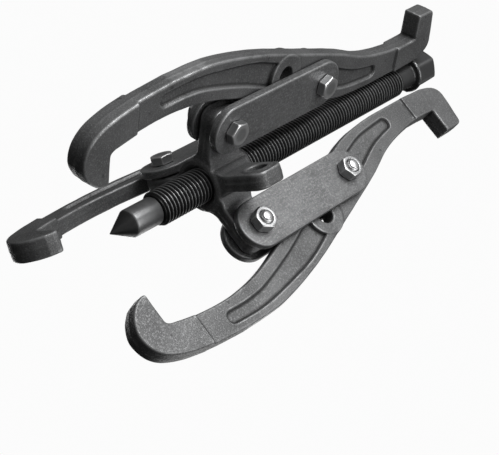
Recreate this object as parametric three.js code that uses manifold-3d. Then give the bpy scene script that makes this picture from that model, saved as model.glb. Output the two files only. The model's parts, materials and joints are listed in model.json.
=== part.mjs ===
// Three-jaw gear puller with reversible forged arms, in its closed pose. Millimetres, +Z up.
// The origin is the middle of the hexagon's end face; the screw's point looks down -Z.
// Heights below are measured from the pins that carry the links.
import * as THREE from "three";
import { mergeVertices } from "three/addons/utils/BufferGeometryUtils.js";
import Module from "manifold-3d";

const wasm = await Module();
wasm.setup();

// Clearance between neighbouring pieces.
const GAP = 0.3;

// Jaw azimuths about the screw; the yoke's fourth lug stays empty in three-jaw use.
const JAWS = { a: 90, b: 210, c: 330 };
const LUG_AZIMUTHS = [90, 210, 270, 330];

// Yoke.
const PIN_R = 29.2; // pin axes from the screw's axis
const BOSS_R = 11.4;
const COLLAR_R = 12.3;
const BOSS_FRONT = -9;
const BOSS_BACK = 15;
const LUG_HALF = 3.9;
const LUG_RING_HALF = 4.3; // raised ring round each pin hole
const LUG_RING_R = 6.6;
const LUG_HIGH = 8.6; // half height of a lug
const LUG_REACH = 8.6; // lug past its pin axis
const LUG_CORNER_R = 5.5;
const FILLET_REACH = 16.5; // where the fillets between lug and boss begin
const HOLE_R = 4.3; // pin holes, for an 8 mm shoulder

// Links.
const LINK_LENGTH = 62.5;
const LINK_HALF_WIDTH = 11.5;
const LINK_THICK = 4;
const LINK_IN = LUG_RING_HALF + GAP;
const LINK_OUT = LINK_IN + LINK_THICK;

// M6 hex bolts with an 8 mm shoulder, and their nuts.
const SHOULDER_R = 4;
const STUD_R = 3;
const HEX_FLATS = 10;
const HEAD_HIGH = 4;
const NUT_HIGH = 5;
const STUD_PAST_NUT = 1.6;
const STUD_END = LINK_OUT + GAP + NUT_HIGH + STUD_PAST_NUT;

// Arm: half thicknesses of the bar, the raised rings, the end pads and the pocket floors.
const BAR_HALF = 3.8;
const RING_HALF = 4.3;
const PAD_HALF = 4.9;
const FLOOR_HALF = 2.2;
const RING_R = 9.6;
const SPARE_RING_R = 10.2;
const SPARE_HOLE = [11.3, -24.2]; // second pin hole, used when the arm is turned round
const HOOK_FACE = -131.5; // level of the large hook's gripping face
const CLAW_FACE = 82; // level of the small hook's gripping face
const HOOK_PAD_FROM = -117.5;
const CLAW_PAD_FROM = 67.5;
const ARM_LEAN = { a: 2, b: 0, c: 0 }; // degrees each arm hangs inward on its pin

// Screw, M16 x 2, with a plain centre point carried in its end.
const THREAD_R = 8;
const POINT_TIP = -62.5;
const CONE_BASE = -51.6;
const POINT_R = 6.35;
const SPIGOT_R = 4;
const SPIGOT_LONG = 11;
const THREAD_FROM = -36.8;
const THREAD_TO = 139;
const NECK_R = 6.8;
const HEAD_FRONT = 150;
const HEAD_BACK = 166;
const HEAD_FLATS = 17;
const HEAD_TURN = 9.5; // degrees

const rad = THREE.MathUtils.degToRad;

// ---- solids ----
function solid(geometry) {
  const bare = new THREE.BufferGeometry();
  bare.setAttribute("position", geometry.getAttribute("position"));
  if (geometry.index) bare.setIndex(geometry.index);
  const merged = mergeVertices(bare, 1e-4);
  const mesh = new wasm.Mesh({
    numProp: 3,
    vertProperties: merged.attributes.position.array,
    triVerts: new Uint32Array(merged.index.array),
  });
  return new wasm.Manifold(mesh);
}

function geometryOf(body) {
  const mesh = body.getMesh();
  const geometry = new THREE.BufferGeometry();
  geometry.setAttribute("position", new THREE.BufferAttribute(mesh.vertProperties, 3));
  geometry.setIndex(new THREE.BufferAttribute(mesh.triVerts, 1));
  geometry.computeVertexNormals();
  return geometry;
}

// Shape extruded evenly to both sides of z = 0, its edges broken by a small bevel.
function slab(shape, half, edge, curveSegments) {
  const geometry = new THREE.ExtrudeGeometry(shape, {
    depth: 2 * (half - edge),
    bevelEnabled: edge > 0,
    bevelThickness: edge,
    bevelSize: edge,
    bevelOffset: -edge,
    bevelSegments: 1,
    curveSegments,
  });
  return geometry.translate(0, 0, edge - half);
}

// Body of revolution about z from [radius, z] pairs.
function turned(pairs, segments) {
  const points = pairs.map(([r, z]) => new THREE.Vector2(r, z));
  return new THREE.LatheGeometry(points, segments).rotateX(Math.PI / 2);
}

// Round or many-sided bar along z, its axis at (x, y).
function bar(radius, from, to, x = 0, y = 0, sides = 24) {
  const geometry = new THREE.CylinderGeometry(radius, radius, to - from, sides);
  return geometry.rotateX(Math.PI / 2).translate(x, y, (from + to) / 2);
}

function hexagon(flats, from, to) {
  return bar(flats / Math.sqrt(3), from, to, 0, 0, 6);
}

// ---- yoke ----
function lugShape() {
  const corner = PIN_R + LUG_REACH - LUG_CORNER_R;
  const shape = new THREE.Shape();
  shape.moveTo(BOSS_R - 2, -LUG_HIGH);
  shape.lineTo(corner, -LUG_HIGH);
  shape.absarc(corner, LUG_CORNER_R - LUG_HIGH, LUG_CORNER_R, -Math.PI / 2, 0);
  shape.absarc(corner, LUG_HIGH - LUG_CORNER_R, LUG_CORNER_R, 0, Math.PI / 2);
  shape.lineTo(PIN_R - 5, LUG_HIGH);
  shape.quadraticCurveTo(BOSS_R + 3.5, LUG_HIGH, BOSS_R, BOSS_BACK - 2);
  shape.lineTo(BOSS_R - 2, BOSS_BACK - 2);
  return shape;
}

// Plan of the hollow fillets that run from the flanks of the lugs to the boss.
function filletShape() {
  const shape = new THREE.Shape();
  const edge = BOSS_R - 0.2;
  const at = (azimuth, r, side) => {
    const a = rad(azimuth);
    return [r * Math.cos(a) - side * Math.sin(a), r * Math.sin(a) + side * Math.cos(a)];
  };
  shape.moveTo(...at(LUG_AZIMUTHS[0], FILLET_REACH, LUG_HALF));
  LUG_AZIMUTHS.forEach((azimuth, i) => {
    const next = LUG_AZIMUTHS[(i + 1) % LUG_AZIMUTHS.length];
    const apart = (next - azimuth + 360) % 360;
    shape.quadraticCurveTo(...at(azimuth, 12.4, LUG_HALF + 0.4), ...at(azimuth + 30, edge, 0));
    if (apart > 60) shape.absarc(0, 0, edge, rad(azimuth + 30), rad(azimuth + apart - 30));
    shape.quadraticCurveTo(...at(next, 12.4, -LUG_HALF - 0.4), ...at(next, FILLET_REACH, -LUG_HALF));
    shape.lineTo(...at(next, FILLET_REACH, LUG_HALF));
  });
  return shape;
}

function makeYoke() {
  const inner = THREAD_R - 1;
  const boss = turned([
    [inner, BOSS_FRONT], [COLLAR_R - 1, BOSS_FRONT], [COLLAR_R, BOSS_FRONT + 1],
    [COLLAR_R, BOSS_FRONT + 3], [BOSS_R, BOSS_FRONT + 4], [BOSS_R, BOSS_BACK - 1],
    [BOSS_R - 1, BOSS_BACK], [inner, BOSS_BACK], [inner, BOSS_FRONT],
  ], 36);
  const wall = THREAD_R + GAP;
  const bore = turned([
    [0, BOSS_FRONT - 1], [wall + 2, BOSS_FRONT - 1], [wall, BOSS_FRONT + 1],
    [wall, BOSS_BACK - 1], [wall + 2, BOSS_BACK + 1], [0, BOSS_BACK + 1],
  ], 36);
  const fillets = new THREE.ExtrudeGeometry(filletShape(), {
    depth: BOSS_BACK + 3.5,
    bevelEnabled: false,
    curveSegments: 4,
  });
  let body = solid(boss).add(solid(fillets.translate(0, 0, -6)));
  for (const azimuth of LUG_AZIMUTHS) {
    const stand = (geometry) => solid(geometry.rotateX(Math.PI / 2).rotateZ(rad(azimuth)));
    body = body
      .add(stand(slab(lugShape(), LUG_HALF, 0.7, 5)))
      .add(stand(bar(LUG_RING_R, -LUG_RING_HALF, LUG_RING_HALF, PIN_R)))
      .subtract(stand(bar(HOLE_R, -LUG_HIGH, LUG_HIGH, PIN_R)));
  }
  return body.subtract(solid(bore));
}

// ---- arm, in its own plane: x outward, y up the screw, origin on its pin ----
const v = (x, y) => new THREE.Vector2(x, y);

function armShape() {
  const shape = new THREE.Shape();
  shape.moveTo(-4.6, CLAW_FACE);
  // Outer edge, then the back of the large hook.
  shape.splineThru([v(-4.7, 64), v(-0.4, 40), v(7.8, 18.6), v(18.7, -14.3), v(28.3, -45), v(34, -73), v(34.4, -97)]);
  shape.splineThru([v(32.4, -117.5), v(28.4, -134.5), v(22.4, -143.3), v(13.6, -146), v(6.4, -143.2), v(1.6, -138.2)]);
  shape.quadraticCurveTo(-1.4, HOOK_FACE, 1.4, HOOK_FACE);
  shape.lineTo(13.4, HOOK_FACE);
  shape.quadraticCurveTo(15.4, HOOK_FACE, 15.9, HOOK_FACE + 4);
  // Inner edge, then the small hook.
  shape.splineThru([v(18, -116), v(19.2, -99), v(17.6, -81), v(13, -63), v(3, -35), v(-12, 4), v(-17, 22), v(-18.8, 42)]);
  shape.lineTo(-18.8, 66);
  shape.lineTo(-18, 84);
  shape.quadraticCurveTo(-16.4, 97, -9.5, 97);
  shape.lineTo(5.6, 95.1);
  shape.quadraticCurveTo(8.4, 94.6, 8.4, 92);
  shape.lineTo(8.4, CLAW_FACE);
  return shape;
}

// Long pocket, from the large hook's pad to the ring of the spare hole.
function longPocket() {
  const shape = new THREE.Shape();
  shape.moveTo(24, -101.6);
  shape.splineThru([v(24.3, -89), v(22.6, -76), v(15.5, -52), v(8, -34)]);
  shape.lineTo(19, -29);
  shape.splineThru([v(25.4, -47), v(30, -74), v(31, -88), v(30.4, -101.6)]);
  shape.absarc(27.2, -101.6, 3.2, 0, -Math.PI, true);
  return shape;
}

// Short pocket, from the pin's ring to the small hook's pad.
function shortPocket() {
  const shape = new THREE.Shape();
  shape.moveTo(-14.9, 47);
  shape.splineThru([v(-13.2, 28), v(-9.4, 14), v(-7, 8)]);
  shape.lineTo(4.5, 9);
  shape.splineThru([v(-4.6, 31), v(-8.1, 47)]);
  shape.absarc(-11.5, 47, 3.4, 0, Math.PI);
  return shape;
}

function makeArm() {
  const long = 60;
  const hookEnd = new THREE.BoxGeometry(90, long, 30).translate(20, HOOK_PAD_FROM - long / 2, 0);
  const clawEnd = new THREE.BoxGeometry(90, long, 30).translate(0, CLAW_PAD_FROM + long / 2, 0);
  const thick = solid(slab(armShape(), PAD_HALF, 0.9, 3));
  const pads = thick.intersect(solid(hookEnd)).add(thick.intersect(solid(clawEnd)));
  let body = solid(slab(armShape(), BAR_HALF, 0.8, 3)).add(pads);
  for (const pocket of [longPocket(), shortPocket()]) {
    for (const side of [-1, 1]) {
      const depth = BAR_HALF - FLOOR_HALF + 1;
      const cut = slab(pocket, depth / 2, 0, 3).translate(0, 0, side * (FLOOR_HALF + depth / 2));
      body = body.subtract(solid(cut));
    }
  }
  const [x, y] = SPARE_HOLE;
  return body
    .add(solid(bar(RING_R, -RING_HALF, RING_HALF)))
    .add(solid(bar(SPARE_RING_R, -RING_HALF, RING_HALF, x, y)))
    .subtract(solid(bar(HOLE_R, -9, 9)))
    .subtract(solid(bar(HOLE_R, -9, 9, x, y)));
}

// ---- links, bolts and nuts, with their pins along z ----
function makeLink() {
  const shape = new THREE.Shape();
  shape.absarc(0, 0, LINK_HALF_WIDTH, -Math.PI, 0);
  shape.absarc(0, LINK_LENGTH, LINK_HALF_WIDTH, 0, Math.PI);
  return solid(slab(shape, LINK_THICK / 2, 0.5, 12))
    .subtract(solid(bar(HOLE_R, -9, 9)))
    .subtract(solid(bar(HOLE_R, -9, 9, 0, LINK_LENGTH)));
}

function makeBolt() {
  const under = -LINK_OUT - GAP;
  const top = under - HEAD_HIGH;
  const flat = HEX_FLATS / 2;
  const crown = turned([[0, top], [flat - 0.2, top], [flat + 1, top + 0.7], [flat + 1, under], [0, under]], 24);
  const shank = turned([
    [0, under - 1], [SHOULDER_R, under - 1], [SHOULDER_R, LINK_OUT], [STUD_R, LINK_OUT],
    [STUD_R, STUD_END - 0.8], [STUD_R - 0.8, STUD_END], [0, STUD_END],
  ], 20);
  return solid(hexagon(HEX_FLATS, top, under)).intersect(solid(crown)).add(solid(shank));
}

function makeNut() {
  const base = LINK_OUT + GAP;
  const top = base + NUT_HIGH;
  const flat = HEX_FLATS / 2;
  const crown = turned([
    [0, base], [flat + 0.2, base], [flat + 1, base + 0.6], [flat + 1, top - 0.6], [flat + 0.1, top], [0, top],
  ], 24);
  return solid(hexagon(HEX_FLATS, base, top))
    .intersect(solid(crown))
    .subtract(solid(bar(STUD_R + GAP, base - 1, top + 1, 0, 0, 20)));
}

// ---- screw ----
function makeSpindle() {
  const flat = HEAD_FLATS / 2;
  const rim = flat + 1.3;
  const shank = turned([
    [0, THREAD_FROM], [THREAD_R - 1, THREAD_FROM], [THREAD_R, THREAD_FROM + 1], [THREAD_R, THREAD_TO - 1],
    [NECK_R, THREAD_TO], [NECK_R, HEAD_FRONT + 1], [0, HEAD_FRONT + 1],
  ], 36);
  const collar = turned([
    [0, HEAD_FRONT], [flat + 0.6, HEAD_FRONT], [rim, HEAD_FRONT + 0.8], [rim, HEAD_FRONT + 2], [0, HEAD_FRONT + 2],
  ], 36);
  const crown = turned([
    [0, HEAD_FRONT], [flat + 2, HEAD_FRONT], [flat + 2, HEAD_BACK - 1.6], [flat - 0.2, HEAD_BACK], [0, HEAD_BACK],
  ], 36);
  const hex = hexagon(HEAD_FLATS, HEAD_FRONT + 0.5, HEAD_BACK).rotateZ(rad(HEAD_TURN));
  return solid(shank)
    .add(solid(collar))
    .add(solid(hex).intersect(solid(crown)))
    .subtract(solid(bar(SPIGOT_R + GAP, THREAD_FROM - 1, THREAD_FROM + SPIGOT_LONG + GAP)));
}

function makePoint() {
  const shoulder = THREAD_FROM - GAP;
  return solid(turned([
    [0, POINT_TIP], [0.35, POINT_TIP + 0.3], [POINT_R, CONE_BASE], [POINT_R, shoulder - 0.4],
    [POINT_R - 0.4, shoulder], [SPIGOT_R, shoulder], [SPIGOT_R, THREAD_FROM + SPIGOT_LONG],
    [0, THREAD_FROM + SPIGOT_LONG],
  ], 36));
}

// ---- assembly ----
const root = new THREE.Group();
const puller = new THREE.Group();
puller.position.z = -HEAD_BACK;
root.add(puller);

const FINISH = {
  forged: { color: 0x3a3a3c, metalness: 0.85, roughness: 0.55 },
  blackened: { color: 0x1c1c1e, metalness: 0.85, roughness: 0.4 },
  plate: { color: 0x606062, metalness: 0.85, roughness: 0.5 },
  zinc: { color: 0xb8b8ba, metalness: 0.95, roughness: 0.3 },
};

function place(name, body, finish, parent, x = 0, y = 0, z = 0) {
  const mesh = new THREE.Mesh(geometryOf(body), new THREE.MeshStandardMaterial(FINISH[finish]));
  mesh.name = name;
  mesh.position.set(x, y, z);
  parent.add(mesh);
  return mesh;
}

place("yoke", makeYoke(), "forged", puller);
place("spindle", makeSpindle(), "blackened", puller);
place("centre_point", makePoint(), "blackened", puller);

for (const [jaw, azimuth] of Object.entries(JAWS)) {
  // In a jaw's group, x runs outward, y up the screw and z towards the nuts.
  const group = new THREE.Group();
  group.rotation.set(Math.PI / 2, rad(azimuth), 0, "XYZ");
  puller.add(group);
  const side = LINK_IN + LINK_THICK / 2;
  place(`link_${jaw}_head`, makeLink(), "plate", group, PIN_R, 0, -side);
  place(`link_${jaw}_nut`, makeLink(), "plate", group, PIN_R, 0, side);
  place(`arm_${jaw}`, makeArm(), "forged", group, PIN_R, LINK_LENGTH, 0).rotation.z = -rad(ARM_LEAN[jaw]);
  for (const [pin, height, turn] of [["yoke", 0, 12], ["arm", LINK_LENGTH, 37]]) {
    place(`bolt_${jaw}_${pin}`, makeBolt(), "zinc", group, PIN_R, height).rotation.z = rad(turn);
    place(`nut_${jaw}_${pin}`, makeNut(), "zinc", group, PIN_R, height).rotation.z = rad(turn + 20);
  }
}

export default root;
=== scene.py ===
"""Looks of a three-jaw gear puller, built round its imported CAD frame.

Every piece is a closed mesh made from a signed distance field or a turned profile, worked out in
millimetres in the piece's own frame, then moved to the pin or axis that the frame gives for it.
"""

import json
import math

import bpy
import numpy as np
import openvdb
from mathutils import Matrix, Vector


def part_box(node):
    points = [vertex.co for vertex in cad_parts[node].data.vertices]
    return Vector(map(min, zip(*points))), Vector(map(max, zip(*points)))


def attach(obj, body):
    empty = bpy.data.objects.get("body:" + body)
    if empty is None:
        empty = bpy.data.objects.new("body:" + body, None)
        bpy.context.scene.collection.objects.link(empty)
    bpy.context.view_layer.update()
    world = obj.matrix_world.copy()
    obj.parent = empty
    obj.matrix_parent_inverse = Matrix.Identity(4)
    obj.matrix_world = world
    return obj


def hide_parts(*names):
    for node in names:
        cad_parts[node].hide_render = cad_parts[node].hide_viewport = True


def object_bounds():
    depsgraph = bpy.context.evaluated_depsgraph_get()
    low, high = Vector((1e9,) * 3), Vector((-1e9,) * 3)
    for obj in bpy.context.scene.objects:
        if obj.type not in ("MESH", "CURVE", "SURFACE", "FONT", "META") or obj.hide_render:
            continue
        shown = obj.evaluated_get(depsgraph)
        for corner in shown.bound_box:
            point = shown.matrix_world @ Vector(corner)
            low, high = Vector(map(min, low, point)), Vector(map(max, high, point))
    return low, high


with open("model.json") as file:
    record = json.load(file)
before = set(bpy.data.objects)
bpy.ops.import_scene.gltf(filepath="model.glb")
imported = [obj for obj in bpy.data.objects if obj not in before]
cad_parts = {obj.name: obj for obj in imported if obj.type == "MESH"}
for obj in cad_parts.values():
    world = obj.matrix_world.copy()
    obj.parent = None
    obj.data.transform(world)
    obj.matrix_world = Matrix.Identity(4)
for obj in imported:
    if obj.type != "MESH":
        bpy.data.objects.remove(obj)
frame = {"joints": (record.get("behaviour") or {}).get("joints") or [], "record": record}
cad_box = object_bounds()

MM = 0.001
STEP_SCALE = 1.0  # coarser sampling while trying things


def joint(name):
    """The frame's joint of that name."""
    return next(j for j in frame["joints"] if j["name"] == name)


# ---- driving dimensions, millimetres ----
HOLE_R = 4.3  # pin holes, for an 8 mm shoulder
HOLE_CHAMFER = 0.55

BOSS_R = 11.4
COLLAR_R = 12.3
COLLAR_LONG = 3.2
BOSS_FRONT = -9
BOSS_BACK = 15
BORE_R = 8.2
BORE_CHAMFER = 1.3
LUG_HALF = 3.9
LUG_RING_HALF = 4.3
LUG_RING_R = 6.6
LUG_HIGH = 8.6
LUG_REACH = 8.6
LUG_CORNER_R = 5.5
ROOT_REACH = 16.5  # where the fillets between lug and boss begin
LUG_AZIMUTHS = [90, 210, 270, 330]

LINK_HALF_WIDTH = 11.5
LINK_THICK = 4
LINK_IN = 4.6
LINK_OUT = LINK_IN + LINK_THICK

GAP = 0.3
SHOULDER_R = 4
STUD_R = 3
STUD_PITCH = 1
HEX_FLATS = 10
HEAD_HIGH = 4
NUT_HIGH = 5
STUD_END = LINK_OUT + GAP + NUT_HIGH + 1.6
STUD_END_HIGHLIGHT = 0.9  # length of the stud end painted bright as a highlight

BAR_HALF = 3.8
RING_HALF = 4.3
PAD_HALF = 4.9
FLOOR_HALF = 2.2  # half thickness at the floor of a pocket
RING_R = 9.6
SPARE_RING_R = 10.2
SPARE_HOLE = (11.3, -24.2)
HOOK_FACE = -131.5
CLAW_FACE = 82
HOOK_PAD_FROM = -117.5
CLAW_PAD_FROM = 67.5
ARM_LEAN = {"a": 2, "b": 0, "c": 0}  # degrees each arm hangs inward on its pin

THREAD_R = 8
THREAD_PITCH = 2
THREAD_DEPTH = 1.1
POINT_TIP = -62.5
CONE_BASE = -51.6
POINT_R = 6.35
SPIGOT_R = 4
SPIGOT_LONG = 11
THREAD_FROM = -36.8
THREAD_TO = 139
NECK_R = 6.8
HEAD_FRONT = 150
HEAD_BACK = 166
HEAD_FLATS = 17
HEAD_TURN = 9.5  # degrees the hexagon is turned about the screw

# ---- sampling steps of the fields, millimetres ----
YOKE_STEP = 0.34
SIDE_VIEW_STEP = 0.2
ARM_STEP = 0.36
LINK_STEP = 0.32
BOLT_STEP = 0.15
NUT_STEP = 0.13
HEAD_STEP = 0.28

# ---- forging: draft, parting line and lug roots ----
DRAFT = 0.03  # wall's lean, millimetres per millimetre
PARTING_HEIGHT = 0.1
PARTING_WIDTH = 0.4
ROOT_FLARE = 1.6  # how much a lug widens on each side where it meets the boss

# ---- roundings, fillets and small set-backs, millimetres ----
FORGED_ROUND = 1.1
BOSS_ROUND = 1.2
COLLAR_ROUND = 0.6
LINK_ROUND = 0.9
HOLE_ROUND = 0.3
SHOULDER_ROUND = 0.3
HEX_ROUND = 0.25
FACE_ROUND = 0.2
HEAD_ROUND = 0.5
LUG_RING_ROUND = 0.35
ARM_RING_ROUND = 0.4
BOSS_FILLET = 3.0
LUG_FILLET = 1.5
COLLAR_FILLET = 0.5
LUG_RING_FILLET = 0.4
ARM_RING_FILLET = 0.6
NECK_FILLET = 1.0
POCKET_MARGIN = 0.3  # how far outside its outline a pocket's wall starts
POCKET_RAMP = 1.2  # how far a pocket's wall slopes
PAD_RAMP = 0.7  # how far the step onto a gripping pad slopes
FORGED_INSET = 0.05  # how far a finished surface is held inside the CAD one
LINK_INSET = 0.03
SHOULDER_INSET = 0.02
THREAD_INSET = 0.04
CORNER_SLOPE = 1.75  # radius over height of the 30 degree chamfer on a hexagon's corners
HEX_REACH = 6.1  # a little past a 10 mm hexagon's corners
FAR = 99  # a field value that is outside everything


# ---- fields: negative inside, positive outside ----
class Block:
    """Sample points of a box in millimetres, with a margin of three steps round it."""

    def __init__(self, low, high, step):
        self.step = step * STEP_SCALE
        margin = 3 * self.step
        self.low = np.array(low, float) - margin
        size = np.array(high, float) + margin - self.low
        counts = np.ceil(size / self.step).astype(int) + 1
        spans = [a + self.step * np.arange(n) for a, n in zip(self.low, counts)]
        self.x, self.y, self.z = (s.astype(np.float32) for s in np.ix_(*spans))


def join(a, b, fillet):
    """Union of two fields with a hollow fillet between them."""
    near = np.maximum(fillet - np.abs(a - b), 0) / fillet
    return np.minimum(a, b) - near * near * fillet / 4


def meet(a, b, rounding):
    """Intersection of two fields with a rounded edge between them."""
    return -join(-a, -b, rounding)


def cut(a, b, rounding):
    """Field a with b taken out of it, the rim rounded."""
    return meet(a, -b, rounding)


def span(along, low, high):
    """Field of everything between two parallel planes, at low and high."""
    return np.abs(along - (low + high) / 2) - (high - low) / 2


def ease(t):
    """Smooth step from 0 to 1."""
    t = np.clip(t, 0, 1)
    return t * t * (3 - 2 * t)


def hexagon(x, y, flats, rounding):
    """Regular hexagon across its flats, with two of them facing +x and -x."""
    field = np.abs(x) - flats / 2
    for turn in (60, 120):
        c, s = math.cos(math.radians(turn)), math.sin(math.radians(turn))
        field = meet(field, np.abs(x * c + y * s) - flats / 2, rounding)
    return field


def cone(r, z, base_r, base_z, slope):
    """Everything inside a cone whose radius is base_r at base_z and grows by slope per millimetre of z."""
    return (r - base_r - slope * (z - base_z)) / math.hypot(1, slope)


def waviness(block, seed, amount, wavelength):
    """Gentle random swell of a forged surface."""
    rng = np.random.default_rng(seed)
    total = 0
    for _ in range(9):
        direction = rng.normal(size=3)
        direction *= 2 * math.pi / wavelength / np.linalg.norm(direction) * rng.uniform(0.6, 1.5)
        phase = rng.uniform(0, 2 * math.pi)
        along = block.x * direction[0] + block.y * direction[1] + block.z * direction[2]
        total = total + np.sin(along + phase)
    return (amount / 3) * total.astype(np.float32)


# ---- outlines ----
def spline(points, per_span=9):
    """Points along a uniform Catmull-Rom curve through the given ones, first and last kept."""
    p = np.array(points, float)
    padded = np.vstack([p[:1], p, p[-1:]])
    out = [p[0]]
    for i in range(len(p) - 1):
        a, b, c, d = padded[i:i + 4]
        for t in np.linspace(0, 1, per_span + 1)[1:]:
            out.append(0.5 * (2 * b + (c - a) * t + (2 * a - 5 * b + 4 * c - d) * t ** 2
                              + (3 * b - a - 3 * c + d) * t ** 3))
    return [tuple(q) for q in out]


def arc(centre, radius, start, end, count=14):
    angles = np.radians(np.linspace(start, end, count))
    return [(centre[0] + radius * math.cos(t), centre[1] + radius * math.sin(t)) for t in angles]


def bend(start, control, end, count=8):
    """Quadratic curve from start to end, drawn towards control."""
    a, b, c = (np.array(p, float) for p in (start, control, end))
    return [tuple((1 - t) ** 2 * a + 2 * t * (1 - t) * b + t * t * c) for t in np.linspace(0, 1, count)]


def outline_field(points, x, y):
    """Signed distance from a closed outline, over the plane of x and y."""
    x = x.reshape(-1, 1).astype(np.float32)
    y = y.reshape(1, -1).astype(np.float32)
    nearest = np.full((x.shape[0], y.shape[1]), 1e9, np.float32)
    inside = np.zeros(nearest.shape, bool)
    for (ax, ay), (bx, by) in zip(points, points[1:] + points[:1]):
        ex, ey = bx - ax, by - ay
        length2 = ex * ex + ey * ey
        if length2 < 1e-9:
            continue
        along = np.clip(((x - ax) * ex + (y - ay) * ey) / length2, 0, 1)
        nearest = np.minimum(nearest, (x - ax - along * ex) ** 2 + (y - ay - along * ey) ** 2)
        if ay != by:
            crosses = (ay > y) != (by > y)
            inside ^= crosses & (x < ax + (y - ay) * ex / ey)
    return np.where(inside, -1, 1) * np.sqrt(nearest)


# ---- meshes ----
def sample(block, values, points):
    """Trilinear samples of a grid of values at points in millimetres."""
    at = (points - block.low) / block.step
    at = np.clip(at, 0, np.array(values.shape) - 1.001)
    base = at.astype(int)
    part = at - base
    total = np.zeros(len(points))
    for corner in np.ndindex(2, 2, 2):
        weight = np.prod(np.where(corner, part, 1 - part), axis=1)
        i, j, k = (base + corner).T
        total += weight * values[i, j, k]
    return total


def edge_values(block, field, points, reach):
    """How sharply the surface turns at each point, over reach millimetres: 1 on edges, -1 in corners."""
    turning = np.zeros_like(field)
    for axis in range(3):
        turning += np.roll(field, 1, axis) + np.roll(field, -1, axis) - 2 * field
    turning /= block.step ** 2
    for _ in range(max(1, round((reach / block.step) ** 2))):
        for axis in range(3):
            turning = (np.roll(turning, 1, axis) + np.roll(turning, -1, axis) + 2 * turning) / 4
    return np.clip(sample(block, turning, points) * reach, -1, 1)


def store_edge(mesh, values):
    attribute = mesh.attributes.new("edge", "FLOAT", "POINT")
    attribute.data.foreach_set("value", np.asarray(values, np.float32))


def skin(name, block, field, reach=0.8):
    """Mesh of the field's surface, in metres."""
    field = np.array(np.broadcast_to(field, (block.x.size, block.y.size, block.z.size)), np.float32)
    grid = openvdb.FloatGrid()
    grid.copyFromArray(field)
    points, quads = grid.convertToQuads(isovalue=0.0)
    points = block.low + points * block.step
    mesh = bpy.data.meshes.new(name)
    mesh.from_pydata((points * MM).tolist(), [], quads[:, ::-1].tolist())
    store_edge(mesh, edge_values(block, field, points, reach))
    face_out(mesh)
    mesh.shade_smooth()
    return mesh


def face_out(mesh):
    """Turns the faces round if the closed mesh is inside out."""
    mesh.calc_loop_triangles()
    corners = np.zeros(len(mesh.loop_triangles) * 3, int)
    mesh.loop_triangles.foreach_get("vertices", corners)
    points = np.zeros(len(mesh.vertices) * 3)
    mesh.vertices.foreach_get("co", points)
    a, b, c = points.reshape(-1, 3)[corners.reshape(-1, 3)].transpose(1, 0, 2)
    if np.einsum("ij,ij->i", a, np.cross(b, c)).sum() < 0:
        mesh.flip_normals()


def turned(name, pairs, around=144):
    """Closed body of revolution about z from (radius, z) pairs that start and end on the axis."""
    angles = np.arange(around) * 2 * math.pi / around
    points = [(0, 0, pairs[0][1])]
    for radius, z in pairs[1:-1]:
        points += [(radius * math.cos(t), radius * math.sin(t), z) for t in angles]
    points.append((0, 0, pairs[-1][1]))
    rings = len(pairs) - 2
    last = len(points) - 1
    faces = []
    for i in range(around):
        j = (i + 1) % around
        faces.append((0, 1 + j, 1 + i))
        for k in range(rings - 1):
            low, high = 1 + k * around, 1 + (k + 1) * around
            faces.append((low + i, low + j, high + j, high + i))
        faces.append((last, last - around + i, last - around + j))
    mesh = bpy.data.meshes.new(name)
    mesh.from_pydata((np.array(points) * MM).tolist(), [], faces)
    face_out(mesh)
    mesh.shade_smooth()
    mesh.set_sharp_from_angle(angle=math.radians(28))
    return mesh


def screw_rod(name, crest, depth, pitch, low, high, around=112):
    """Right-hand threaded rod about z, its ends drawn to a point past low and high."""
    # One pitch of the thread: part of the pitch, and depth below the crest.
    profile = [(0.0, 0.06), (0.03, 0), (0.13, 0), (0.16, 0.06), (0.29, 0.5), (0.42, 0.94),
               (0.47, 1), (0.69, 1), (0.74, 0.94), (0.87, 0.5)]
    rows = len(profile)
    turns = math.ceil((high - low) / pitch) + 2
    count = turns * rows
    points = []
    for i in range(around):
        angle = 2 * math.pi * i / around
        for j in range(count):
            share, down = profile[j % rows]
            radius = crest - depth * down
            z = low - pitch + pitch * (j // rows + share + i / around)
            points.append((radius * math.cos(angle), radius * math.sin(angle), z))
    faces = []
    for i in range(around - 1):
        for j in range(count - 1):
            here, beyond = i * count + j, (i + 1) * count + j
            faces.append((here, beyond, beyond + 1, here + 1))
    seam = (around - 1) * count
    for j in range(count - 1 - rows):
        faces.append((seam + j, j + rows, j + rows + 1, seam + j + 1))
    bottom = [i * count for i in range(around)] + list(range(rows, 0, -1))
    top = [i * count + count - 1 for i in range(around)]
    top = top + list(range(seam + count - 2, seam + count - 1 - rows - 1, -1))
    for loop, z, flip in ((bottom, low - 3 * pitch, False), (top, high + 4 * pitch, True)):
        apex = len(points)
        points.append((0, 0, z))
        for a, b in zip(loop, loop[1:] + loop[:1]):
            faces.append((a, b, apex) if flip else (b, a, apex))
    mesh = bpy.data.meshes.new(name)
    mesh.from_pydata((np.array(points) * MM).tolist(), [], faces)
    face_out(mesh)
    mesh.shade_smooth()
    return mesh


def combine(mesh, other, operation):
    """Mesh united with, cut by or cut down to another closed mesh."""
    base = bpy.data.objects.new("base", mesh)
    tool = bpy.data.objects.new("tool", other)
    for o in (base, tool):
        bpy.context.scene.collection.objects.link(o)
    step = base.modifiers.new("step", "BOOLEAN")
    step.operation = operation
    step.solver = "MANIFOLD"
    step.object = tool
    bpy.context.view_layer.update()
    depsgraph = bpy.context.evaluated_depsgraph_get()
    made = bpy.data.meshes.new_from_object(base.evaluated_get(depsgraph))
    made.name = mesh.name
    for o in (base, tool):
        bpy.data.objects.remove(o)
    return made


def points_of(mesh):
    """Vertex positions in millimetres."""
    points = np.zeros(len(mesh.vertices) * 3)
    mesh.vertices.foreach_get("co", points)
    return points.reshape(-1, 3) / MM


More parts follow.
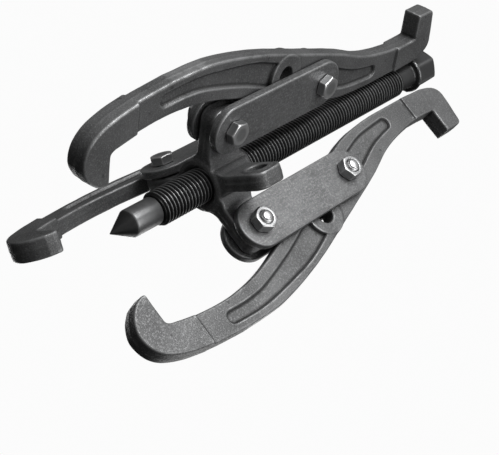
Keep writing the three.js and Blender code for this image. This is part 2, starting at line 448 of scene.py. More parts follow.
def parting(across):
    """Draft of a forged wall on both sides of its parting line, with the faint rib on the line itself."""
    return DRAFT * np.abs(across) - PARTING_HEIGHT * np.exp(-(across / PARTING_WIDTH) ** 2)


# ---- yoke ----
def pin_hole(r, along, face):
    """Pin hole with a chamfer at each face: r from its axis, along it, with the faces at +face and -face."""
    chamfer = (r - HOLE_R - HOLE_CHAMFER + (face - np.abs(along))) / math.sqrt(2)
    return np.maximum(np.minimum(r - HOLE_R, chamfer), np.abs(along) - face - 1)


def lug_outline(pin_r):
    """Side view of a lug: x from the screw's axis, y up the screw. It runs up onto the boss."""
    corner = pin_r + LUG_REACH - LUG_CORNER_R
    top = BOSS_BACK - 2
    return (
        [(0, -LUG_HIGH)]
        + arc((corner, LUG_CORNER_R - LUG_HIGH), LUG_CORNER_R, -90, 0)
        + arc((corner, LUG_HIGH - LUG_CORNER_R), LUG_CORNER_R, 0, 90)
        + bend((pin_r - 5, LUG_HIGH), (BOSS_R + 3.5, LUG_HIGH), (BOSS_R, top))
        + [(0, top)]
    )


def yoke_mesh():
    """Boss with its collar, four lugs with raised rings, pin holes and the bore. Its z is 0 at the pins."""
    pin = Vector(joint("links_a_swing")["pos_m"])
    pin_r = math.hypot(pin.x, pin.y) / MM
    reach = pin_r + LUG_REACH
    b = Block((-reach, -reach, BOSS_FRONT), (reach, reach, BOSS_BACK), YOKE_STEP)
    r = np.hypot(b.x, b.y)
    ends = span(b.z, BOSS_FRONT, BOSS_BACK)
    boss = meet(r - BOSS_R, ends, BOSS_ROUND)
    collar_ends = span(b.z, BOSS_FRONT, BOSS_FRONT + COLLAR_LONG)
    collar = meet(r - COLLAR_R + FORGED_INSET, collar_ends, COLLAR_ROUND)
    # The side view is sampled once, finely, and looked up by distance out from the screw.
    outs = np.arange(-2, reach + 6, SIDE_VIEW_STEP, dtype=np.float32)
    side_view = outline_field(lug_outline(pin_r), outs, b.z)
    lugs = None
    rings = None
    holes = None
    for azimuth in LUG_AZIMUTHS:
        c, s = math.cos(math.radians(azimuth)), math.sin(math.radians(azimuth))
        out = b.x * c + b.y * s
        side = b.y * c - b.x * s
        place = np.clip((out[:, :, 0] - outs[0]) / SIDE_VIEW_STEP, 0, len(outs) - 1.001)
        row = place.astype(int)
        part = (place - row)[:, :, None]
        plan = side_view[row] * (1 - part) + side_view[row + 1] * part
        # The lug widens into the boss, and its rim has draft on both sides of a faint parting line.
        flare = ROOT_FLARE * ease((ROOT_REACH - out) / (ROOT_REACH - BOSS_R))
        flank = np.abs(side) - LUG_HALF + FORGED_INSET - flare
        lug = meet(plan + parting(side), flank, FORGED_ROUND)
        lug = np.maximum(lug, -out)
        from_pin = np.hypot(out - pin_r, b.z)
        ring = meet(from_pin - LUG_RING_R, np.abs(side) - LUG_RING_HALF, LUG_RING_ROUND)
        hole = np.where(out > 0, pin_hole(from_pin, side, LUG_RING_HALF), FAR)
        lugs = lug if lugs is None else join(lugs, lug, LUG_FILLET)
        rings = ring if rings is None else np.minimum(rings, ring)
        holes = hole if holes is None else np.minimum(holes, hole)
    body = join(boss, lugs, BOSS_FILLET)
    body = join(body, collar, COLLAR_FILLET)
    body = join(body, rings, LUG_RING_FILLET)
    body += waviness(b, seed=3, amount=0.03, wavelength=9)
    body = cut(body, holes, HOLE_ROUND)
    mouths = (r - BORE_R - BORE_CHAMFER - ends) / math.sqrt(2)
    body = cut(body, np.minimum(r - BORE_R, mouths), HOLE_ROUND)
    return skin("yoke_forging", b, body)


# ---- arm, in its own plane: x outward, y up the screw, origin on its pin ----
def arm_outline():
    """Side view of an arm, from its small hook down the outer edge to the large hook and back."""
    outer = [(-4.7, 64), (-0.4, 40), (7.8, 18.6), (18.7, -14.3), (28.3, -45), (34, -73), (34.4, -97)]
    back = [
        (34.4, -97), (32.4, -117.5), (28.4, -134.5), (22.4, -143.3),
        (13.6, -146), (6.4, -143.2), (1.6, -138.2),
    ]
    inner = [(18, -116), (19.2, -99), (17.6, -81), (13, -63), (3, -35), (-12, 4), (-17, 22), (-18.8, 42)]
    inner_start = (15.9, HOOK_FACE + 4)
    return (
        spline([(-4.6, CLAW_FACE)] + outer) + spline(back)[1:]
        + bend((1.6, HOOK_FACE - 6.7), (-1.4, HOOK_FACE), (1.4, HOOK_FACE))[1:]
        + bend((13.4, HOOK_FACE), (15.4, HOOK_FACE), inner_start)
        + spline([inner_start] + inner)[1:]
        + [(-18.8, 66)]
        + bend((-18, 84), (-16.4, 97), (-9.5, 97))
        + bend((5.6, 95.1), (8.4, 94.6), (8.4, 92))
        + [(8.4, CLAW_FACE)]
    )


def long_pocket():
    """Outline of the pocket below the spare hole."""
    inner = [(24, -101.6), (24.3, -89), (22.6, -76), (15.5, -52), (8, -34)]
    outer = [(19, -29), (25.4, -47), (30, -74), (31, -88), (30.4, -101.6)]
    return spline(inner) + spline(outer) + arc((27.2, -101.6), 3.2, 0, -180)[1:-1]


def short_pocket():
    """Outline of the pocket above the pin."""
    inner = [(-14.9, 47), (-13.2, 28), (-9.4, 14), (-7, 8)]
    outer = [(4.5, 9), (-4.6, 31), (-8.1, 47)]
    return spline(inner) + spline(outer) + arc((-11.5, 47), 3.4, 0, 180)[1:-1]


def arm_mesh():
    """Forged arm with thicker pads at both hooks, two pockets, two ringed holes and a parting line."""
    b = Block((-19, -146.4, -PAD_HALF), (35, 97.4, PAD_HALF), ARM_STEP)
    plan = outline_field(arm_outline(), b.x, b.y)
    along = b.y[:, :, 0]
    hook_pad = ease((HOOK_PAD_FROM - along) / PAD_RAMP + 0.5)
    claw_pad = ease((along - CLAW_PAD_FROM) / PAD_RAMP + 0.5)
    pads = hook_pad + claw_pad
    half = BAR_HALF + (PAD_HALF - BAR_HALF) * pads
    for pocket in (long_pocket(), short_pocket()):
        depth_in = POCKET_MARGIN - outline_field(pocket, b.x, b.y)
        half = half - (BAR_HALF - FLOOR_HALF) * ease(depth_in / POCKET_RAMP)
    slope = np.hypot(*np.gradient(half, b.step))
    flat = (np.abs(b.z) - half[:, :, None]) / np.sqrt(1 + slope ** 2)[:, :, None]
    # The walls lean in by the draft angle on both sides of the parting line.
    wall = plan[:, :, None] + parting(b.z)
    body = meet(wall, flat, FORGED_ROUND)
    spare_x, spare_y = SPARE_HOLE
    holes = []
    for x, y, radius in ((0, 0, RING_R), (spare_x, spare_y, SPARE_RING_R)):
        r = np.hypot(b.x - x, b.y - y)
        ring = meet(r - radius + DRAFT * np.abs(b.z), np.abs(b.z) - RING_HALF, ARM_RING_ROUND)
        body = join(body, ring, ARM_RING_FILLET)
        holes.append(pin_hole(r, b.z, RING_HALF))
    body += waviness(b, seed=11, amount=0.035, wavelength=13)
    for hole in holes:
        body = cut(body, hole, HOLE_ROUND)
    return skin("arm_forging", b, body)


# ---- link, in the arm's plane, from one pin to the other ----
def link_mesh(length):
    """Flat plate with round ends and a chamfered hole at each pin."""
    reach = LINK_HALF_WIDTH
    low = (-reach, -reach, -LINK_THICK / 2)
    high = (reach, length + reach, LINK_THICK / 2)
    b = Block(low, high, LINK_STEP)
    plan = np.hypot(b.x, b.y - np.clip(b.y, 0, length)) - LINK_HALF_WIDTH
    body = meet(plan + LINK_INSET, np.abs(b.z) - LINK_THICK / 2, LINK_ROUND)
    for pin in (0, length):
        r = np.hypot(b.x, b.y - pin)
        body = cut(body, pin_hole(r, b.z, LINK_THICK / 2), HOLE_ROUND)
    return skin("link_plate", b, body, 0.6)


# ---- bolts and nuts, along z ----
def stud_field(b, r, crest, pitch, start, end):
    """Right-hand thread from start to a domed end."""
    turn = np.arctan2(b.y, b.x) / (2 * math.pi)
    phase = np.abs((b.z / pitch - turn) % 1 - 0.5) * 2
    crest_share, flank_share = 0.14, 0.7
    full_depth = 0.58 * pitch
    depth = full_depth * np.clip((phase - crest_share) / flank_share, 0, 1)
    # The field is steep on the flanks, so it is scaled down until they and the crests average about 1.
    thread = (r - crest + depth) * 0.72
    dome_r = 6.5
    dome = np.sqrt(r * r + (b.z - end + dome_r) ** 2) - dome_r
    body = meet(thread, dome, 0.4)
    body = meet(body, cone(r, b.z, crest - 0.75, end - 0.15, -1), 0.3)
    return meet(body, start - b.z, 0.2)


def bolt_mesh():
    """Hexagon head, plain shoulder through both links and threaded stud."""
    under = -LINK_OUT - GAP
    top = under - HEAD_HIGH
    flat = HEX_FLATS / 2
    b = Block((-HEX_REACH, -HEX_REACH, top), (HEX_REACH, HEX_REACH, STUD_END), BOLT_STEP)
    r = np.hypot(b.x, b.y)
    head = meet(hexagon(b.x, b.y, HEX_FLATS, HEX_ROUND), span(b.z, top, under), FACE_ROUND)
    head = meet(head, cone(r, b.z, flat - 0.25, top, CORNER_SLOPE), FACE_ROUND)
    # Shoulder and stud each start a little inside what they stand on.
    shoulder = meet(r - SHOULDER_R + SHOULDER_INSET, span(b.z, under - 0.5, LINK_OUT), SHOULDER_ROUND)
    stud = stud_field(b, r, STUD_R - THREAD_INSET, STUD_PITCH, LINK_OUT - 1, STUD_END)
    body = np.minimum(np.minimum(head, shoulder), stud)
    mesh = skin("hex_bolt", b, body, 0.4)
    points = points_of(mesh)
    edge = np.zeros(len(points), np.float32)
    mesh.attributes["edge"].data.foreach_get("value", edge)
    # The domed end of the stud is painted bright as a highlight.
    edge = np.where(points[:, 2] > STUD_END - STUD_END_HIGHLIGHT, 0.7, edge)
    mesh.attributes["edge"].data.foreach_set("value", edge)
    return mesh


def nut_mesh():
    """Hexagon nut with chamfered corners and a plain hole."""
    base = LINK_OUT + GAP
    top = base + NUT_HIGH
    flat = HEX_FLATS / 2
    b = Block((-HEX_REACH, -HEX_REACH, base), (HEX_REACH, HEX_REACH, top), NUT_STEP)
    r = np.hypot(b.x, b.y)
    ends = span(b.z, base, top)
    body = meet(hexagon(b.x, b.y, HEX_FLATS, HEX_ROUND), ends, FACE_ROUND)
    body = meet(body, cone(r, b.z, flat - 0.1, top, -CORNER_SLOPE), FACE_ROUND)
    body = meet(body, cone(r, b.z, flat + 0.1, base, CORNER_SLOPE), FACE_ROUND)
    hole_r = STUD_R + THREAD_INSET
    mouth = 0.6
    mouths = (r - hole_r - mouth - ends) / math.sqrt(2)
    body = cut(body, np.minimum(r - hole_r, mouths), 0.15)
    return skin("hex_nut", b, body, 0.4)


# ---- screw ----
def head_mesh():
    """Plain neck, thin front rim and hexagon, along z."""
    flat = HEAD_FLATS / 2
    rim = flat + 1.3
    b = Block((-rim, -rim, THREAD_TO - 4), (rim, rim, HEAD_BACK), HEAD_STEP)
    r = np.hypot(b.x, b.y)
    c, s = math.cos(math.radians(HEAD_TURN + 30)), math.sin(math.radians(HEAD_TURN + 30))
    hexed = hexagon(b.x * c + b.y * s, b.y * c - b.x * s, HEAD_FLATS, HEAD_ROUND)
    head = meet(hexed, span(b.z, HEAD_FRONT, HEAD_BACK), HEAD_ROUND)
    head = meet(head, cone(r, b.z, flat - 0.3, HEAD_BACK, -CORNER_SLOPE), HEAD_ROUND)
    collar = meet(r - rim + 0.1, span(b.z, HEAD_FRONT, HEAD_FRONT + 2), COLLAR_ROUND)
    collar = meet(collar, cone(r, b.z, flat + 0.5, HEAD_FRONT, 1), 0.4)
    # The neck reaches into both the thread and the head.
    neck = meet(r - NECK_R, span(b.z, THREAD_TO - 3, HEAD_FRONT + 2), FACE_ROUND)
    body = join(np.minimum(head, collar), neck, NECK_FILLET)
    return skin("screw_head", b, body, 0.5)


def spindle_mesh():
    """Threaded rod with its head, bored at the lower end for the point's spigot."""
    crest = THREAD_R - THREAD_INSET
    core = crest - THREAD_DEPTH - 0.1
    rod = screw_rod("rod", crest, THREAD_DEPTH, THREAD_PITCH, THREAD_FROM, THREAD_TO)
    envelope = turned("envelope", [
        (0, THREAD_FROM), (core - 0.2, THREAD_FROM), (crest + 0.2, THREAD_FROM + 1.3),
        (crest + 0.2, THREAD_TO - 1.6), (NECK_R - 0.3, THREAD_TO), (0, THREAD_TO),
    ])
    bore = turned("bore", [
        (0, THREAD_FROM - 1), (SPIGOT_R + 1.2, THREAD_FROM - 1), (SPIGOT_R + GAP, THREAD_FROM + 0.4),
        (SPIGOT_R + GAP, THREAD_FROM + SPIGOT_LONG + GAP), (0, THREAD_FROM + SPIGOT_LONG + GAP + 1.5),
    ], around=96)
    body = combine(rod, envelope, "INTERSECT")
    body = combine(body, head_mesh(), "UNION")
    body = combine(body, bore, "DIFFERENCE")
    body.name = "screw"
    body.materials.clear()
    points = points_of(body)
    r = np.hypot(points[:, 0], points[:, 1])
    threaded = (points[:, 2] < THREAD_TO - 0.5) & (r > SPIGOT_R + 1)
    down = (crest - r) / THREAD_DEPTH
    # Crests get 1, for rubbing and a painted highlight; flanks and roots go negative, and the material
    # paints those darker as shade.
    on_thread = np.where(down < 0.1, 1, np.clip(-down, -1, 0))
    # Head and neck are rubbed a little all over, and the head more towards its corners.
    flat = HEAD_FLATS / 2
    on_head = np.clip((r - flat) / 1.2, 0, 1) * 0.6
    on_head = np.where(points[:, 2] > THREAD_TO - 0.5, np.maximum(on_head, 0.32), on_head)
    if "edge" in body.attributes:
        body.attributes.remove(body.attributes["edge"])
    store_edge(body, np.where(threaded, on_thread, on_head))
    body.shade_smooth()
    body.set_sharp_from_angle(angle=math.radians(32))
    return body


def point_mesh():
    """Cone on a plain shank, with the spigot that sits inside the screw."""
    shoulder = THREAD_FROM - GAP
    nose = 0.35
    steps = [0.08, 0.3, 0.6, 0.9]
    run = CONE_BASE - POINT_TIP - 0.65
    cone_rings = [(nose + (POINT_R - 0.25 - nose) * t, POINT_TIP + 0.3 + run * t) for t in steps]
    mesh = turned("centre_point_turned", [
        (0, POINT_TIP), (nose * 0.7, POINT_TIP + 0.08), (nose, POINT_TIP + 0.3), *cone_rings,
        (POINT_R - 0.25, CONE_BASE - 0.35), (POINT_R - 0.06, CONE_BASE - 0.05), (POINT_R, CONE_BASE + 0.35),
        (POINT_R, shoulder - 0.5), (POINT_R - 0.15, shoulder - 0.15), (POINT_R - 0.5, shoulder),
        (SPIGOT_R, shoulder), (SPIGOT_R, THREAD_FROM + SPIGOT_LONG - 0.5),
        (SPIGOT_R - 0.5, THREAD_FROM + SPIGOT_LONG), (0, THREAD_FROM + SPIGOT_LONG),
    ], around=160)
    # The cone is painted darker than the shank as shade, and both rims of the shank are rubbed.
    points = points_of(mesh)
    edge = np.zeros(len(points))
    edge[points[:, 2] < CONE_BASE - 0.4] = -0.6
    edge[np.abs(points[:, 2] - CONE_BASE) < 0.4] = 0.7
    edge[np.abs(points[:, 2] - shoulder + 0.2) < 0.4] = 0.5
    store_edge(mesh, edge)
    return mesh


# ---- materials ----
class Nodes:
    """Small helper that adds and wires shader nodes."""

    def __init__(self, name):
        self.material = bpy.data.materials.new(name)
        self.material.use_nodes = True
        self.tree = self.material.node_tree
        self.tree.nodes.clear()

    def add(self, kind, settings=None, **inputs):
        node = self.tree.nodes.new(kind)
        for key, value in (settings or {}).items():
            setattr(node, key, value)
        for key, value in inputs.items():
            socket = node.inputs[key.replace("_", " ")]
            self.wire(value, socket)
        return node

    def wire(self, value, socket):
        if isinstance(value, bpy.types.NodeSocket):
            self.tree.links.new(value, socket)
        else:
            socket.default_value = value

    def math(self, operation, a, b=0.0, clamp=False):
        node = self.tree.nodes.new("ShaderNodeMath")
        node.operation = operation
        node.use_clamp = clamp
        self.wire(a, node.inputs[0])
        self.wire(b, node.inputs[1])
        return node.outputs[0]

    def remap(self, value, low, high, to_low=0.0, to_high=1.0):
        node = self.add("ShaderNodeMapRange", {"clamp": True}, Value=value)
        ends = {"From Min": low, "From Max": high, "To Min": to_low, "To Max": to_high}
        for name, number in ends.items():
            node.inputs[name].default_value = number
        return node.outputs["Result"]

    def mix(self, factor, a, b):
        node = self.tree.nodes.new("ShaderNodeMix")
        node.data_type = "RGBA"
        self.wire(factor, node.inputs["Factor"])
        self.wire(a, node.inputs["A"])
        self.wire(b, node.inputs["B"])
        return node.outputs["Result"]

    def noise(self, size_mm, detail=3.0, roughness=0.5, stretch=(1, 1, 1), warp=0.0):
        """Noise whose features are about size_mm across, in the piece's own space."""
        place = self.add("ShaderNodeAttribute", {"attribute_name": "place"}).outputs["Vector"]
        mapping = self.add("ShaderNodeMapping", None, Vector=place)
        mapping.inputs["Scale"].default_value = stretch
        node = self.add("ShaderNodeTexNoise", None, Vector=mapping.outputs[0], Scale=1 / (size_mm * MM * 2),
                        Detail=detail, Roughness=roughness, Distortion=warp)
        return node.outputs["Fac"]

    def bump(self, height, strength, distance_mm, normal=None):
        node = self.add("ShaderNodeBump", None, Height=height, Strength=strength, Distance=distance_mm * MM)
        if normal is not None:
            self.wire(normal, node.inputs["Normal"])
        return node.outputs["Normal"]

    def edge(self):
        return self.add("ShaderNodeAttribute", {"attribute_name": "edge"}).outputs["Fac"]

    def surface(self, colour, metallic, roughness, normal):
        shader = self.add("ShaderNodeBsdfPrincipled", None, Base_Color=colour, Metallic=metallic,
                          Roughness=roughness, Normal=normal)
        output = self.add("ShaderNodeOutputMaterial")
        self.tree.links.new(shader.outputs[0], output.inputs["Surface"])
        return self.material


def grey(value, tint=0.0):
    return (value * (1 - tint), value, value * (1 + tint), 1)


def forged_steel():
    """Blackened drop forging: blasted grain, soft mottling, edges rubbed bright and painted with a
    highlight, painted shade in the hollows.
    """
    n = Nodes("forged_steel")
    mottle = n.noise(14, 4, 0.55)
    grain = n.noise(0.32, 2, 0.6)
    scale = n.noise(2.2, 3, 0.6)
    colour = n.mix(n.remap(mottle, 0.35, 0.65), grey(0.085, 0.01), grey(0.135, 0.01))
    speck = n.remap(grain, 0.5, 0.74, 0.0, 0.5)
    colour = n.mix(speck, colour, grey(0.32, 0.01))
    pits = n.remap(scale, 0.36, 0.28, 0.0, 0.6)
    colour = n.mix(pits, colour, grey(0.03))
    edge = n.edge()
    # Convex edges are painted lighter: partly real rubbed wear, partly a painted highlight on the rounded
    # edges.
    patchy = n.remap(n.noise(3.5, 3, 0.6), 0.35, 0.62, 0.25, 1.0)
    wear_and_highlight = n.math("MULTIPLY", n.remap(edge, 0.3, 0.75), patchy, clamp=True)
    colour = n.mix(n.math("MULTIPLY", wear_and_highlight, 0.7), colour, grey(0.5, 0.01))
    # Painted shade: concave corners and hollows are painted darker where light falls off.
    hollow = n.remap(edge, -0.12, -0.5, 0.0, 0.75)
    colour = n.mix(hollow, colour, grey(0.02))
    roughness = n.math("SUBTRACT", n.remap(grain, 0.3, 0.7, 0.62, 0.44), n.math("MULTIPLY", wear_and_highlight, 0.12))
    normal = n.bump(grain, 0.6, 0.12)
    normal = n.bump(scale, 0.35, 0.25, normal)
    metallic = n.remap(wear_and_highlight, 0, 1, 0.55, 0.9)
    return n.surface(colour, metallic, roughness, normal)


def link_steel():
    """Rolled strip: fine grain drawn out along the link, faint blotches, rims rubbed and painted with a
    highlight.
    """
    n = Nodes("link_steel")
    drawn = n.noise(0.35, 3, 0.6, (1, 0.12, 1))
    blotch = n.noise(9, 4, 0.6, warp=0.4)
    grain = n.noise(0.4, 2, 0.6)
    colour = n.mix(n.remap(blotch, 0.35, 0.68), grey(0.105, 0.01), grey(0.16, 0.01))
    colour = n.mix(n.remap(drawn, 0.45, 0.75, 0.0, 0.35), colour, grey(0.3, 0.01))
    colour = n.mix(n.remap(grain, 0.5, 0.72, 0.0, 0.55), colour, grey(0.34, 0.01))
    edge = n.edge()
    # Rims are painted lighter: partly real rubbed wear, partly a painted highlight on the rounded rim.
    wear_and_highlight = n.math("MULTIPLY", n.remap(edge, 0.3, 0.75), n.remap(blotch, 0.3, 0.6, 0.4, 1), clamp=True)
    colour = n.mix(n.math("MULTIPLY", wear_and_highlight, 0.55), colour, grey(0.5, 0.01))
    roughness = n.remap(blotch, 0.3, 0.7, 0.5, 0.4)
    normal = n.bump(drawn, 0.25, 0.06)
    normal = n.bump(grain, 0.6, 0.14, normal)
    return n.surface(colour, 0.6, roughness, normal)


def screw_steel():
    """Oiled black oxide on turned steel: fine turning lines, crests rubbed to a shine and painted with a
    highlight, painted shade in the thread roots and on the point's cone.
    """
    n = Nodes("screw_steel")
    turning = n.noise(0.12, 2, 0.5, (0.04, 0.04, 1))
    smear = n.noise(5, 4, 0.6)
    colour = n.mix(n.remap(smear, 0.35, 0.65), grey(0.035, 0.01), grey(0.06, 0.01))
    edge = n.edge()
    # Crests and rims are painted lighter: partly real rubbing, partly a painted highlight along the crests.
    rubbed = n.math("MULTIPLY", n.remap(edge, 0.2, 1), n.remap(smear, 0.3, 0.6, 0.6, 1), clamp=True)
    colour = n.mix(n.math("MULTIPLY", rubbed, 0.75), colour, grey(0.42, 0.01))
    # Painted shade: thread roots and the point's cone are painted near black.
    colour = n.mix(n.remap(edge, -0.3, -1, 0, 0.7), colour, grey(0.012))
    roughness = n.remap(smear, 0.3, 0.7, 0.42, 0.3)
    normal = n.bump(turning, 0.3, 0.05)
    return n.surface(colour, 0.75, roughness, normal)


def fastener_zinc():
    """Bright zinc plate over machined hexagons, slightly clouded, with painted highlights on the edges and
    painted shade in the hollows.
    """
    n = Nodes("fastener_zinc")
    cloud = n.noise(2.2, 3, 0.6)
    fine = n.noise(0.25, 2, 0.6)
    colour = n.mix(n.remap(cloud, 0.3, 0.7), grey(0.34, 0.01), grey(0.48, 0.01))
    colour = n.mix(n.remap(fine, 0.6, 0.75, 0, 0.35), colour, grey(0.28))
    edge = n.edge()
    # Painted highlight: convex edges are painted lighter.
    colour = n.mix(n.remap(edge, 0.15, 0.6, 0, 0.5), colour, grey(0.85))
    # Painted shade: hollows and thread roots are painted darker.
    colour = n.mix(n.remap(edge, -0.15, -0.6, 0, 0.8), colour, grey(0.08))
    roughness = n.remap(cloud, 0.3, 0.7, 0.44, 0.34)
    normal = n.bump(fine, 0.25, 0.05)
    return n.surface(colour, 1.0, roughness, normal)


# ---- assembly ----
BODY_OF = {node: body for body, nodes in frame["record"]["behaviour"]["bodies"].items() for node in nodes}
SLOT_OF = {part["node"]: part["material_slot"] for part in frame["record"]["subparts"]}


def finish_piece(mesh, node, matrix):
    """Stands a finished mesh in for a CAD node, on the node's body and with its slot's material.

    The mesh is copied and moved into place, and keeps its own coordinates for the grain as "place".
    """
    mesh = mesh.copy()
    mesh.name = node + "_mesh"
    own = np.zeros(len(mesh.vertices) * 3, np.float32)
    mesh.vertices.foreach_get("co", own)
    mesh.attributes.new("place", "FLOAT_VECTOR", "POINT").data.foreach_set("vector", own)
    mesh.transform(matrix)
    piece = bpy.data.objects.new(node + "_finished", mesh)
    bpy.context.scene.collection.objects.link(piece)
    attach(piece, BODY_OF[node])
    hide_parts(node)
    mesh.materials.append(MATERIALS[SLOT_OF[node]])


def on_screw(level):
    """Stands a piece on the screw's axis, its zero level with the pins of the yoke."""
    return Matrix.Translation((0, 0, level))


def jaw_matrix(outward, pin, side_mm=0.0, turn=0.0):
    """Stands a piece on a jaw: its x runs outward, y up the screw and z towards the nuts."""
    up = Vector((0, 0, 1))
    to_nuts = outward.cross(up)
    turned_about_pin = Matrix.Rotation(math.radians(turn), 3, "Z")
    basis = Matrix((outward, up, to_nuts)).transposed() @ turned_about_pin
    matrix = basis.to_4x4()
    matrix.translation = pin + to_nuts * side_mm * MM
    return matrix


MATERIALS = {
    "forged_steel": forged_steel(),
    "link_steel": link_steel(),
    "screw_steel": screw_steel(),
    "fastener_zinc": fastener_zinc(),
}

BOLT_TURNS = {"yoke": 12, "arm": 37}
NUT_TURN = 20

first_pin = Vector(joint("links_a_swing")["pos_m"])
finish_piece(yoke_mesh(), "yoke", on_screw(first_pin.z))
finish_piece(spindle_mesh(), "spindle", on_screw(first_pin.z))
finish_piece(point_mesh(), "centre_point", on_screw(first_pin.z))

link_length = (Vector(joint("arm_a_swing")["pos_m"]) - first_pin).length / MM
arm, link, bolt, nut = arm_mesh(), link_mesh(link_length), bolt_mesh(), nut_mesh()

for jaw in "abc":
    pins = {
        "yoke": Vector(joint(f"links_{jaw}_swing")["pos_m"]),
        "arm": Vector(joint(f"arm_{jaw}_swing")["pos_m"]),
    }
    outward = Vector((pins["yoke"].x, pins["yoke"].y, 0)).normalized()
    side = LINK_IN + LINK_THICK / 2
    finish_piece(arm, f"arm_{jaw}", jaw_matrix(outward, pins["arm"], 0, -ARM_LEAN[jaw]))
    finish_piece(link, f"link_{jaw}_head", jaw_matrix(outward, pins["yoke"], -side))
    finish_piece(link, f"link_{jaw}_nut", jaw_matrix(outward, pins["yoke"], side))
    for pin, turn in BOLT_TURNS.items():
        finish_piece(bolt, f"bolt_{jaw}_{pin}", jaw_matrix(outward, pins[pin], 0, turn))
        finish_piece(nut, f"nut_{jaw}_{pin}", jaw_matrix(outward, pins[pin], 0, turn + NUT_TURN))


# ---- camera, placed and turned by a fit to the photograph ----
CAMERA_PLACE = Vector((-0.12118, -0.38887, -0.34627))  # from the screw's axis at the pins' level
LOOK_RIGHT = Vector((0.27662, -0.70748, 0.65034))
LOOK_UP = Vector((-0.92146, -0.00320, 0.38846))
LENS_PIXELS = 1207  # about 4 % wider than the fitted lens, so that every hook is in the picture
IMAGE_WIDTH = 499
SENSOR = 36  # millimetres

camera = bpy.data.objects.new("camera", bpy.data.cameras.new("camera"))
bpy.context.scene.collection.objects.link(camera)
toward = LOOK_RIGHT.cross(LOOK_UP).normalized()
look = Matrix((LOOK_RIGHT, LOOK_UP, toward)).transposed().to_4x4()
look.translation = CAMERA_PLACE + Vector((0, 0, first_pin.z))
camera.matrix_world = look
camera.data.sensor_width = SENSOR
camera.data.lens = LENS_PIXELS / IMAGE_WIDTH * SENSOR
camera.data.clip_start = 0.01
bpy.context.scene.camera = camera


# ---- studio ----
FLOOR_SIZE = 6  # metres
FLOOR_GLOW = 0.62
FLOOR_DIFFUSE = 0.16
BACKDROP = 0.97
ROOM_DARK = 0.025
ROOM_LIGHT = 0.35
ROOM_DARK_FROM = -0.6  # cosine of the angle from the key light past which the room is darkest
KEY_FROM = 0.45 * LOOK_RIGHT + 0.70 * LOOK_UP + 0.5 * toward
FILL_FROM = 0.9 * LOOK_RIGHT - 0.15 * LOOK_UP + 0.5 * toward
BACK_FROM = Vector((0.35, 0.9, 0.25))
SIDE_FROM = Vector((0.9, 0.35, 0.35))
# Distance and size in metres, power in watts.
LIGHTS = {
    "key": {"direction": KEY_FROM, "distance": 0.9, "size": 0.6, "power": 8.5},
    "fill": {"direction": FILL_FROM, "distance": 1.1, "size": 0.8, "power": 5},
    "back": {"direction": BACK_FROM, "distance": 1.2, "size": 0.8, "power": 7},
    "side": {"direction": SIDE_FROM, "distance": 1.2, "size": 0.8, "power": 3},
}


def area_light(name, direction, distance, size, power):
    """Soft square light that looks at the middle of the object from a direction."""
    middle = (cad_box[0] + cad_box[1]) / 2
    data = bpy.data.lights.new(name, "AREA")
    data.size = size
    data.energy = power
    light = bpy.data.objects.new(name, data)
    bpy.context.scene.collection.objects.link(light)
    away = direction.normalized()
    light.location = middle + away * distance
    light.rotation_euler = (-away).to_track_quat("-Z", "Y").to_euler()


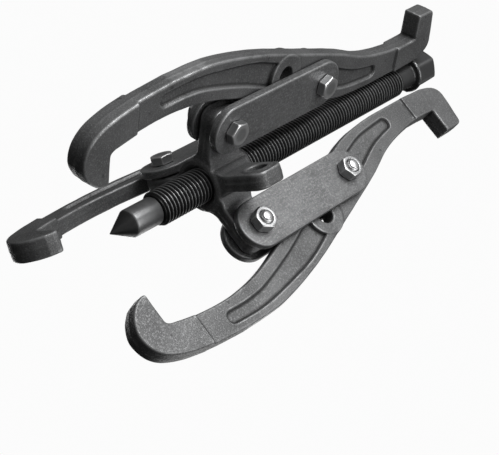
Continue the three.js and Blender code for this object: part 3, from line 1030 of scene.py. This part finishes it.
def pale_floor():
    """Pale floor, level with the lowest point that the screw's tip reaches.

    Only the camera sees it, and only from above, so it hides nothing from below. Most of its
    brightness is its own, so that it stays even far from the lights.
    """
    n = Nodes("floor")
    glow = n.add("ShaderNodeEmission", None, Color=grey(FLOOR_GLOW))
    lit = n.add("ShaderNodeBsdfDiffuse", None, Color=grey(FLOOR_DIFFUSE))
    pale = n.add("ShaderNodeAddShader")
    n.wire(glow.outputs[0], pale.inputs[0])
    n.wire(lit.outputs[0], pale.inputs[1])
    clear = n.add("ShaderNodeBsdfTransparent")
    behind = n.add("ShaderNodeNewGeometry").outputs["Backfacing"]
    path = n.add("ShaderNodeLightPath")
    not_seen = n.math("SUBTRACT", 1.0, path.outputs["Is Camera Ray"])
    gone = n.math("MAXIMUM", behind, not_seen)
    blend = n.tree.nodes.new("ShaderNodeMixShader")
    n.wire(gone, blend.inputs[0])
    n.wire(pale.outputs[0], blend.inputs[1])
    n.wire(clear.outputs[0], blend.inputs[2])
    output = n.add("ShaderNodeOutputMaterial")
    n.tree.links.new(blend.outputs[0], output.inputs["Surface"])
    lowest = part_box("centre_point")[0].z + joint("screw_feed")["range_m"][0]
    bpy.ops.mesh.primitive_plane_add(size=FLOOR_SIZE, location=(0, 0, lowest))
    floor = bpy.context.object
    floor.name = "floor"
    floor.data.materials.append(n.material)


def studio_world():
    """White backdrop to the camera; the object sees a grey room that is lighter on the key light's side."""
    world = bpy.data.worlds.new("studio")
    world.use_nodes = True
    tree = world.node_tree
    tree.nodes.clear()
    path = tree.nodes.new("ShaderNodeLightPath")
    backdrop = tree.nodes.new("ShaderNodeBackground")
    backdrop.inputs["Color"].default_value = (1, 1, 1, 1)
    backdrop.inputs["Strength"].default_value = BACKDROP
    room = tree.nodes.new("ShaderNodeBackground")
    place = tree.nodes.new("ShaderNodeTexCoord")
    facing = tree.nodes.new("ShaderNodeVectorMath")
    facing.operation = "DOT_PRODUCT"
    facing.inputs[1].default_value = KEY_FROM.normalized()
    tree.links.new(place.outputs["Generated"], facing.inputs[0])
    ramp = tree.nodes.new("ShaderNodeMapRange")
    ramp.inputs["From Min"].default_value = ROOM_DARK_FROM
    ramp.inputs["From Max"].default_value = 1.0
    ramp.inputs["To Min"].default_value = ROOM_DARK
    ramp.inputs["To Max"].default_value = ROOM_LIGHT
    tree.links.new(facing.outputs["Value"], ramp.inputs["Value"])
    tree.links.new(ramp.outputs["Result"], room.inputs["Strength"])
    blend = tree.nodes.new("ShaderNodeMixShader")
    tree.links.new(path.outputs["Is Camera Ray"], blend.inputs[0])
    tree.links.new(room.outputs[0], blend.inputs[1])
    tree.links.new(backdrop.outputs[0], blend.inputs[2])
    output = tree.nodes.new("ShaderNodeOutputWorld")
    tree.links.new(blend.outputs[0], output.inputs["Surface"])
    bpy.context.scene.world = world


for name, light in LIGHTS.items():
    area_light(name, **light)
pale_floor()
studio_world()
bpy.context.scene.view_settings.view_transform = "Standard"
